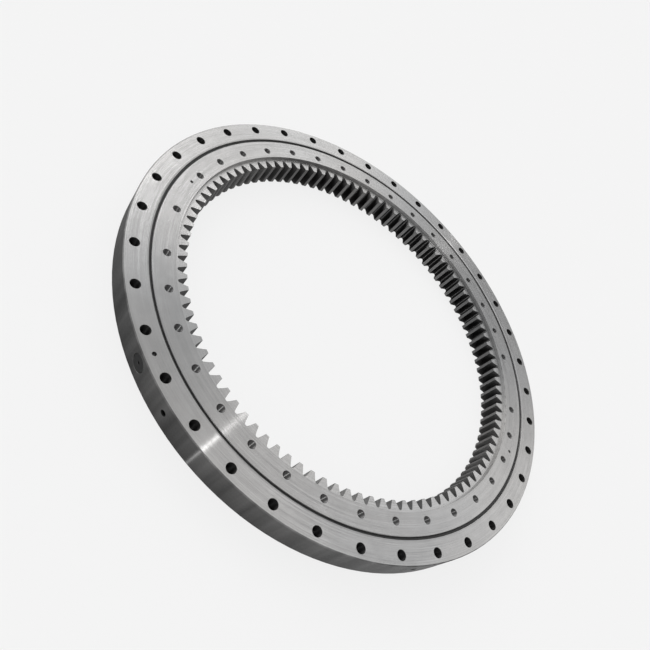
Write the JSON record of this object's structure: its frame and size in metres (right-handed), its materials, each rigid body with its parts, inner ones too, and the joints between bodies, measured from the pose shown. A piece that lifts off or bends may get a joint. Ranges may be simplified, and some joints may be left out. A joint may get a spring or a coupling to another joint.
{
  "type": "slewing ring bearing",
  "caption": "Ball slewing ring bearing: a plain outer ring that turns round a toothed inner ring, with bolt holes in both and a filling plug in the rim.",
  "frame": {"origin": "on the axis of rotation at the foot of the gear ring, the face that stands on the machine's base", "axes": "+Z along the axis of rotation, out of the face that the pictured side shows; +X through the gap in the gear ring's bolt pattern"},
  "size_m": [1.2698, 1.27, 0.077],
  "materials": {
    "outer_ring_steel": "machined steel, turned faces and rim, light oil",
    "gear_ring_steel": "machined steel, turned faces, dark hobbed and hardened tooth flanks",
    "seal_rubber": "black nitrile rubber",
    "plug_steel": "turned steel, darker than the rim",
    "pin_steel": "ground steel",
    "port_plug_steel": "blackened steel screw",
    "ball_steel": "polished bearing steel",
    "spacer_nylon": "natural nylon"
  },
  "bodies": {
    "base": {"gear_ring": "gear_ring_steel", "lower_seal": "seal_rubber"},
    "rotor": {"outer_ring": "outer_ring_steel", "upper_seal": "seal_rubber", "filling_plug": "plug_steel", "filling_plug_pin": "pin_steel", "grease_port_plugs": "port_plug_steel"},
    "ball_train": {"ball_set_01": "ball_steel", "ball_set_02": "ball_steel", "ball_set_03": "ball_steel", "ball_set_04": "ball_steel", "ball_set_05": "ball_steel", "ball_set_06": "ball_steel", "ball_set_07": "ball_steel", "ball_set_08": "ball_steel", "ball_set_09": "ball_steel", "ball_set_10": "ball_steel", "ball_set_11": "ball_steel", "ball_set_12": "ball_steel", "spacer_set_01": "spacer_nylon", "spacer_set_02": "spacer_nylon", "spacer_set_03": "spacer_nylon", "spacer_set_04": "spacer_nylon", "spacer_set_05": "spacer_nylon", "spacer_set_06": "spacer_nylon", "spacer_set_07": "spacer_nylon", "spacer_set_08": "spacer_nylon", "spacer_set_09": "spacer_nylon", "spacer_set_10": "spacer_nylon", "spacer_set_11": "spacer_nylon", "spacer_set_12": "spacer_nylon"}
  },
  "joints": [
    {"name": "slew", "type": "hinge", "parent": "base", "child": "rotor", "pos_m": [0, 0, 0.046], "axis": [0, 0, 1], "continuous": true},
    {"name": "ball_travel", "type": "hinge", "parent": "base", "child": "ball_train", "pos_m": [0, 0, 0.046], "axis": [0, 0, 1], "continuous": true}
  ],
  "couplings": [
    {"joint": "ball_travel", "follows": "slew", "ratio": 0.51164}
  ]
}
